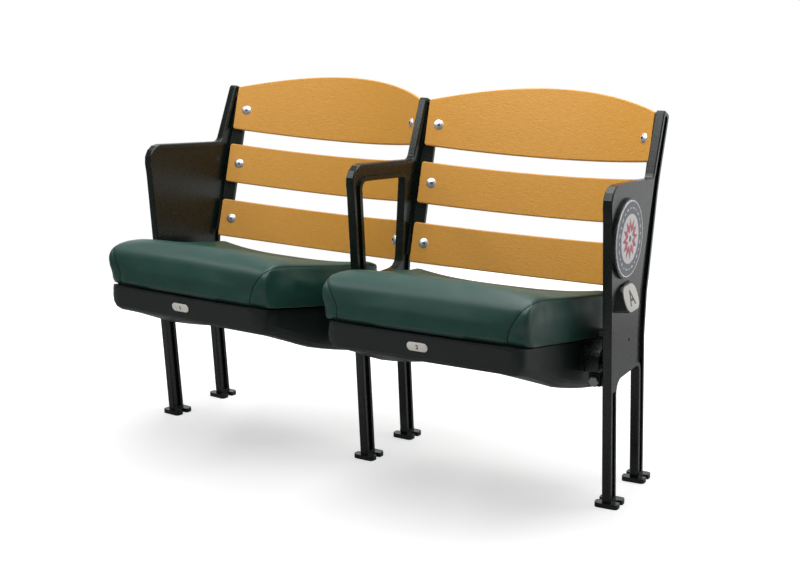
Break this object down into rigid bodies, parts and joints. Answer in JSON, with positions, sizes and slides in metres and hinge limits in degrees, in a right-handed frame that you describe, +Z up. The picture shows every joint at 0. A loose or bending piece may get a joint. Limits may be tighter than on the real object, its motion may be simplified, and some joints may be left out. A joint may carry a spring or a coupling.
{
  "type": "stadium seat",
  "caption": "Row of stadium seats with cast standards, tip-up pans with vinyl cushions, bent back slats and an aisle light with a row letter.",
  "frame": {"origin": "centre of the underside of the rear foot of the middle standard, on the floor", "axes": "+X along the row towards the aisle end (the sitters' left), +Y to the rear of the middle standard, +Z up"},
  "size_m": [1.1993, 0.6292, 0.7945],
  "materials": {
    "cast_frame": "black-green gloss enamel over a cast surface",
    "slat_plastic": "honey-coloured moulded plastic with a fine embossed grain",
    "vinyl": "dark green grained vinyl",
    "pan_plastic": "black-green satin moulded plastic",
    "board_wood": "black-stained plywood",
    "bright_steel": "zinc-plated",
    "bush_plastic": "natural nylon",
    "bumper_rubber": "black moulded rubber",
    "printed_plate": "pale painted aluminium plate",
    "lens": "clear diffuser"
  },
  "bodies": {
    "root": {"left_standard": "cast_frame", "middle_standard": "cast_frame", "right_standard": "cast_frame", "medallion_plate": "printed_plate", "aisle_light_housing": "cast_frame", "aisle_light_lens": "lens", "row_letter_plate": "printed_plate", "seat_1_bottom_slat": "slat_plastic", "seat_1_bottom_slat_bolt_left": "bright_steel", "seat_1_bottom_slat_bolt_right": "bright_steel", "seat_1_middle_slat": "slat_plastic", "seat_1_middle_slat_bolt_left": "bright_steel", "seat_1_middle_slat_bolt_right": "bright_steel", "seat_1_top_slat": "slat_plastic", "seat_1_top_slat_bolt_left": "bright_steel", "seat_1_top_slat_bolt_right": "bright_steel", "seat_1_pivot_pin_left": "bright_steel", "seat_1_pivot_pin_right": "bright_steel", "seat_1_stop_bumper_left": "bumper_rubber", "seat_1_stop_bumper_right": "bumper_rubber", "seat_1_stop_bolt_left": "bright_steel", "seat_1_stop_bolt_right": "bright_steel", "seat_2_bottom_slat": "slat_plastic", "seat_2_bottom_slat_bolt_left": "bright_steel", "seat_2_bottom_slat_bolt_right": "bright_steel", "seat_2_middle_slat": "slat_plastic", "seat_2_middle_slat_bolt_left": "bright_steel", "seat_2_middle_slat_bolt_right": "bright_steel", "seat_2_top_slat": "slat_plastic", "seat_2_top_slat_bolt_left": "bright_steel", "seat_2_top_slat_bolt_right": "bright_steel", "seat_2_pivot_pin_left": "bright_steel", "seat_2_pivot_pin_right": "bright_steel", "seat_2_stop_bumper_left": "bumper_rubber", "seat_2_stop_bumper_right": "bumper_rubber", "seat_2_stop_bolt_left": "bright_steel", "seat_2_stop_bolt_right": "bright_steel"},
    "seat_1": {"seat_1_pan": "pan_plastic", "seat_1_cushion_board": "board_wood", "seat_1_cushion": "vinyl", "seat_1_number_plate": "printed_plate", "seat_1_hinge_arm_left": "cast_frame", "seat_1_arm_bolt_left": "bright_steel", "seat_1_pivot_bush_left": "bush_plastic", "seat_1_hinge_arm_right": "cast_frame", "seat_1_arm_bolt_right": "bright_steel", "seat_1_pivot_bush_right": "bush_plastic"},
    "seat_2": {"seat_2_pan": "pan_plastic", "seat_2_cushion_board": "board_wood", "seat_2_cushion": "vinyl", "seat_2_number_plate": "printed_plate", "seat_2_hinge_arm_left": "cast_frame", "seat_2_arm_bolt_left": "bright_steel", "seat_2_pivot_bush_left": "bush_plastic", "seat_2_hinge_arm_right": "cast_frame", "seat_2_arm_bolt_right": "bright_steel", "seat_2_pivot_bush_right": "bush_plastic"}
  },
  "joints": [
    {"name": "seat_1_tip", "type": "hinge", "parent": "root", "child": "seat_1", "pos_m": [-0.2832, -0.08807, 0.325], "axis": [-0.9994, 0.0335, 0], "range_deg": [0, 78]},
    {"name": "seat_2_tip", "type": "hinge", "parent": "root", "child": "seat_2", "pos_m": [0.2832, -0.08807, 0.325], "axis": [-0.9994, -0.0335, 0], "range_deg": [0, 78]}
  ]
}
